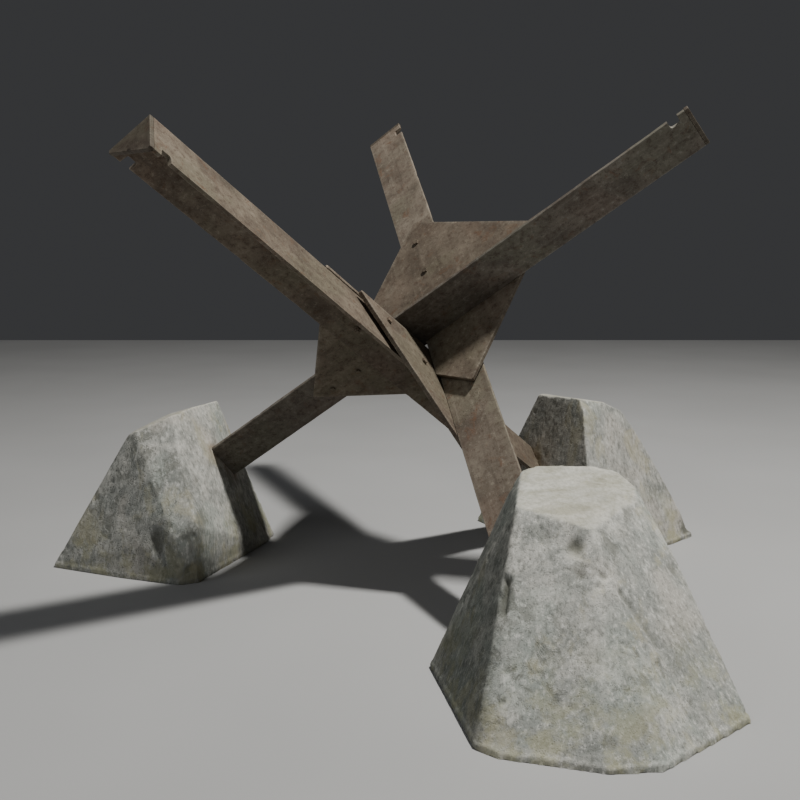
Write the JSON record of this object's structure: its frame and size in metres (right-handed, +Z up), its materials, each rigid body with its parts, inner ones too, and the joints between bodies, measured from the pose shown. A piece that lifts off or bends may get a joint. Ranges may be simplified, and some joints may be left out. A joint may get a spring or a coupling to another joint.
{
  "type": "anti-vehicle obstacle",
  "caption": "Static anti-vehicle obstacle: crossed steel angle beams bolted through gusset plates, lower ends cast into rough concrete footings.",
  "frame": {"origin": "middle of the object's box on the ground", "axes": "+Z up; X and Y along the sides of the object's box, with the front footing towards -Y"},
  "size_m": [2.097, 2.2436, 1.4294],
  "materials": {
    "angle_steel": "weathered mill steel, brown-grey with thin rust and rubbed edges",
    "plate_steel": "weathered plate, brown-grey with patchy rust",
    "fastener_steel": "dark rusty steel",
    "concrete": "rough cast concrete, pale grey-green, speckled, with ochre and mossy stains near the ground"
  },
  "bodies": {
    "root": {"beam_a": "angle_steel", "beam_b": "angle_steel", "beam_c": "angle_steel", "end_plate_a_upper": "angle_steel", "end_plate_a_lower": "angle_steel", "end_plate_b_upper": "angle_steel", "end_plate_b_lower": "angle_steel", "end_plate_c_upper": "angle_steel", "end_plate_c_lower": "angle_steel", "gusset_plate_bc": "plate_steel", "gusset_plate_ab": "plate_steel", "gusset_plate_ca": "plate_steel", "bolt_bc_1": "fastener_steel", "washer_bc_1": "fastener_steel", "nut_bc_1": "fastener_steel", "spacer_bc_1": "fastener_steel", "bolt_bc_2": "fastener_steel", "washer_bc_2": "fastener_steel", "nut_bc_2": "fastener_steel", "spacer_bc_2": "fastener_steel", "bolt_bc_3": "fastener_steel", "washer_bc_3": "fastener_steel", "nut_bc_3": "fastener_steel", "bolt_bc_4": "fastener_steel", "washer_bc_4": "fastener_steel", "nut_bc_4": "fastener_steel", "bolt_ab_1": "fastener_steel", "washer_ab_1": "fastener_steel", "nut_ab_1": "fastener_steel", "spacer_ab_1": "fastener_steel", "bolt_ab_2": "fastener_steel", "washer_ab_2": "fastener_steel", "nut_ab_2": "fastener_steel", "spacer_ab_2": "fastener_steel", "bolt_ab_3": "fastener_steel", "washer_ab_3": "fastener_steel", "nut_ab_3": "fastener_steel", "bolt_ab_4": "fastener_steel", "washer_ab_4": "fastener_steel", "nut_ab_4": "fastener_steel", "bolt_ca_1": "fastener_steel", "washer_ca_1": "fastener_steel", "nut_ca_1": "fastener_steel", "spacer_ca_1": "fastener_steel", "bolt_ca_2": "fastener_steel", "washer_ca_2": "fastener_steel", "nut_ca_2": "fastener_steel", "spacer_ca_2": "fastener_steel", "bolt_ca_3": "fastener_steel", "washer_ca_3": "fastener_steel", "nut_ca_3": "fastener_steel", "bolt_ca_4": "fastener_steel", "washer_ca_4": "fastener_steel", "nut_ca_4": "fastener_steel", "footing_a": "concrete", "footing_b": "concrete", "footing_c": "concrete"}
  },
  "joints": []
}
